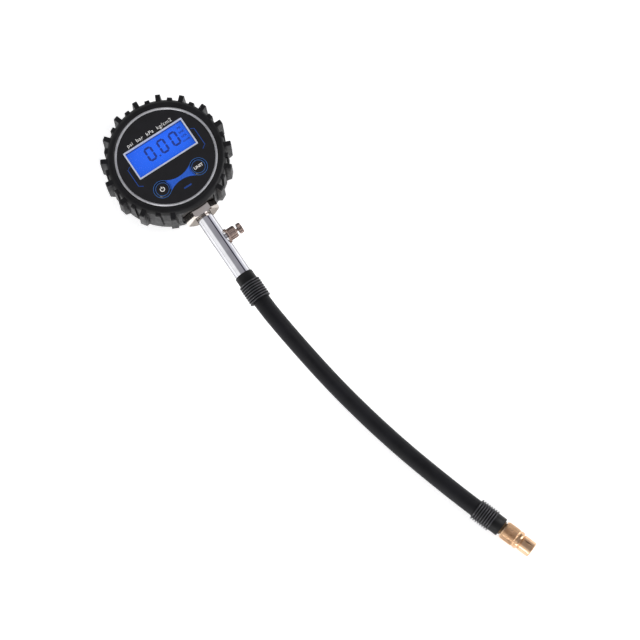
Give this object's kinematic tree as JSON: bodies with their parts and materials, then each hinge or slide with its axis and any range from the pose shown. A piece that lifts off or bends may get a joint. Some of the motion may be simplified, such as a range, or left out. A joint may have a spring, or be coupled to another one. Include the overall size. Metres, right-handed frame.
{
  "type": "tire pressure gauge",
  "caption": "Digital tyre pressure gauge: round head in a tread-pattern rubber boot, chromed stem with bleeder, short hose and swivelling brass screw-on chuck.",
  "frame": {"origin": "centre of the head's flat back, on the surface the gauge lies on", "axes": "+Z is the dial's outward normal, +Y points to the top of the dial, the stem leaves along -Y, +X is the bleeder valve's side"},
  "size_m": [0.0838, 0.3159, 0.027],
  "materials": {
    "boot_rubber": "matte moulded",
    "case_plastic": "fine spark texture",
    "steel": "machined",
    "silver_trim": "satin plated",
    "overlay_gloss": "printed gloss black",
    "window_clear": "clear",
    "display_blue": "lit display",
    "white_plastic": "moulded",
    "pcb_green": "solder mask",
    "chip_black": "moulded",
    "elastomer": "silicone",
    "cell_wrap": "printed sleeve",
    "chrome": "polished",
    "brass": "turned",
    "bronze": "dark plated, knurled",
    "seal_rubber": "moulded",
    "hose_rubber": "smooth extruded"
  },
  "bodies": {
    "gauge": {"rubber_boot": "boot_rubber", "case_rear": "case_plastic", "case_front": "case_plastic", "case_screws": "steel", "battery_door": "case_plastic", "door_screw": "steel", "aaa_cells": "cell_wrap", "battery_contacts": "steel", "battery_springs": "steel", "trim_ring": "silver_trim", "face_overlay": "overlay_gloss", "lcd_frame": "silver_trim", "hex_union": "chrome", "lock_nut": "brass", "stem": "chrome", "relief_near": "boot_rubber", "crimp_near": "brass", "hose": "hose_rubber", "crimp_far": "brass", "relief_far": "boot_rubber", "pcb": "pcb_green", "controller_chip": "chip_black", "capacitors": "chip_black", "pcb_screws": "steel", "dome_switches": "steel", "zebra_strip": "elastomer", "backlight": "white_plastic", "lcd_glass": "display_blue", "lcd_holder": "white_plastic", "lcd_window": "window_clear", "pressure_sensor": "steel", "sensor_collar": "brass", "sensor_seal": "seal_rubber", "sensor_flex": "elastomer", "bleeder_body": "bronze", "bleeder_spring": "steel", "swivel_stem": "brass", "depressor_pin": "brass"},
    "on_button": {"button_on": "overlay_gloss"},
    "func_button": {"button_func": "overlay_gloss"},
    "bleeder": {"bleeder_plunger": "bronze", "bleeder_seal": "seal_rubber"},
    "chuck": {"chuck_nut": "brass", "chuck_nose": "brass", "chuck_seal": "seal_rubber", "swivel_seal": "seal_rubber", "snap_ring": "steel"}
  },
  "joints": [
    {"name": "on_press", "type": "slide", "parent": "gauge", "child": "on_button", "axis": [0, 0, -1], "range_m": [0, 0.0004], "stiffness_N_per_m": 1500, "springref_m": -0.0002},
    {"name": "func_press", "type": "slide", "parent": "gauge", "child": "func_button", "axis": [0, 0, -1], "range_m": [0, 0.0004], "stiffness_N_per_m": 1500, "springref_m": -0.0002},
    {"name": "bleeder_press", "type": "slide", "parent": "gauge", "child": "bleeder", "axis": [-1, 0, 0], "range_m": [0, 0.0011], "stiffness_N_per_m": 1200, "springref_m": -0.001, "deforming": ["bleeder_spring"]},
    {"name": "chuck_spin", "type": "hinge", "parent": "gauge", "child": "chuck", "pos_m": [0.03848, -0.26171, 0.0062], "axis": [0.3256, -0.9455, 0], "continuous": true}
  ]
}
